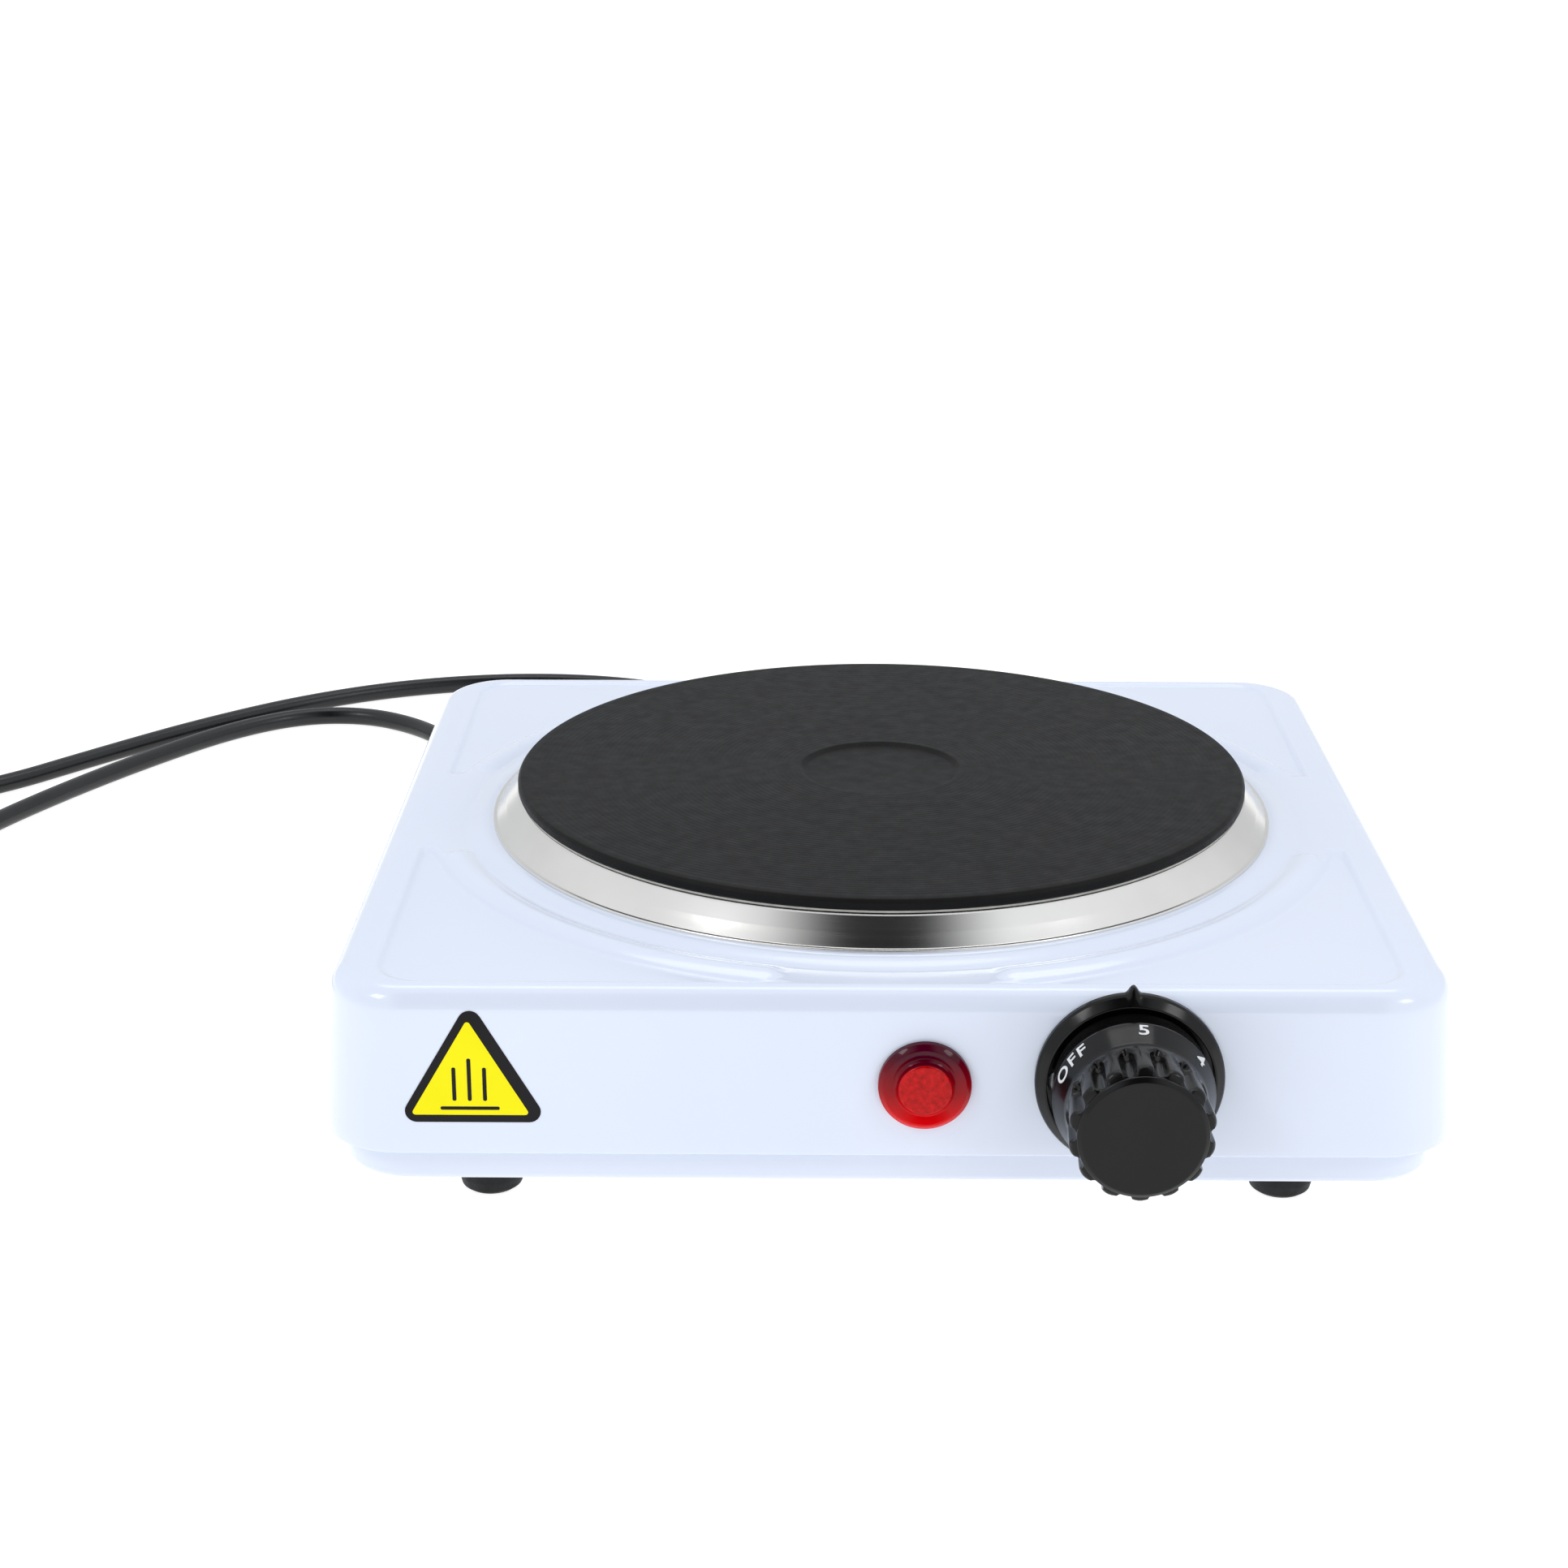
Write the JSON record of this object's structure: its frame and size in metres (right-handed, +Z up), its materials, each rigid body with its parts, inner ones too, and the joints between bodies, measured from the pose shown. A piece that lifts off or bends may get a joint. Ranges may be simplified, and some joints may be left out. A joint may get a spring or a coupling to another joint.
{
  "type": "electric hot plate",
  "caption": "Countertop electric hot plate: white steel box with a black cast iron plate in a polished ring, a turning heat dial, a red pilot lamp, rubber feet and a mains lead.",
  "frame": {"origin": "on the surface under the feet, midway between the dial's front and the rear wall and midway between the side walls, the lead left out", "axes": "+Z up, -Y is the front with the dial and lamp, +X to the right seen from the front"},
  "size_m": [0.4675, 0.4056, 0.0649],
  "materials": {
    "white_enamel": "gloss powder coat",
    "cast_iron_black": "matt black stove finish",
    "polished_steel": "polished",
    "zinc_steel": "zinc plated",
    "black_gloss_plastic": "gloss",
    "black_rubber": "matt",
    "cord_black": "satin PVC",
    "red_lens": "clear red",
    "clear_glass": "clear",
    "white_nylon": "satin",
    "ceramic_white": "unglazed",
    "phenolic_brown": "moulded",
    "brass": "plain",
    "resistance_alloy": "oxidised",
    "wire_sleeve": "glass fibre sleeve",
    "mineral_gasket": "fibre",
    "sign_yellow": "printed film"
  },
  "bodies": {
    "base": {"top_housing": "white_enamel", "base_pan": "white_enamel", "rubber_feet": "black_rubber", "foot_screws": "zinc_steel", "corner_standoffs": "zinc_steel", "steel_trim_ring": "polished_steel", "plate_gasket": "mineral_gasket", "cast_iron_plate": "cast_iron_black", "heating_coil": "resistance_alloy", "ceramic_fill": "ceramic_white", "element_cover": "zinc_steel", "heat_shield": "zinc_steel", "lead_insulators": "ceramic_white", "centre_stud": "zinc_steel", "stud_spacer": "zinc_steel", "cross_bracket": "zinc_steel", "stud_washer": "zinc_steel", "stud_nut": "zinc_steel", "thermostat_bracket": "zinc_steel", "thermostat_body": "phenolic_brown", "thermostat_bush": "brass", "contact_blade": "brass", "fixed_contact": "brass", "contact_points": "zinc_steel", "bimetal_strip": "zinc_steel", "thermostat_terminals": "brass", "thermostat_screws": "zinc_steel", "knob_bezel": "black_gloss_plastic", "lamp_lens": "red_lens", "lamp_clip": "zinc_steel", "neon_bulb": "clear_glass", "lamp_cap": "white_nylon", "hot_surface_sign": "sign_yellow", "terminal_block": "ceramic_white", "terminal_screws": "brass", "cord_tail": "cord_black", "supply_wires": "wire_sleeve", "live_wire": "wire_sleeve", "neutral_wires": "wire_sleeve", "thermal_fuse": "ceramic_white", "fuse_clip": "zinc_steel", "element_wire": "wire_sleeve", "earth_stud": "zinc_steel", "earth_nut": "zinc_steel", "earth_tab": "brass", "earth_wire": "wire_sleeve", "lamp_wires": "wire_sleeve", "cord_anchor": "white_nylon", "cord_clamp_bar": "white_nylon", "clamp_screws": "zinc_steel", "cord_strain_relief": "black_rubber", "power_cord": "cord_black", "plug_body": "cord_black", "plug_earth_clips": "brass", "plug_pins": "zinc_steel"},
    "dial": {"knob": "black_gloss_plastic", "knob_clip": "zinc_steel", "thermostat_spindle": "zinc_steel"},
    "thermostat_pin": {"adjusting_pin": "ceramic_white"}
  },
  "joints": [
    {"name": "dial_turn", "type": "hinge", "parent": "base", "child": "dial", "pos_m": [0.0483, -0.0945, 0.0354], "axis": [0, -1, 0], "range_deg": [0, 300]},
    {"name": "pin_slide", "type": "slide", "parent": "base", "child": "thermostat_pin", "axis": [0, 1, 0], "range_m": [0, 0.0008]}
  ],
  "couplings": [
    {"joint": "pin_slide", "follows": "dial_turn", "m_per_rad": 0.00015}
  ]
}
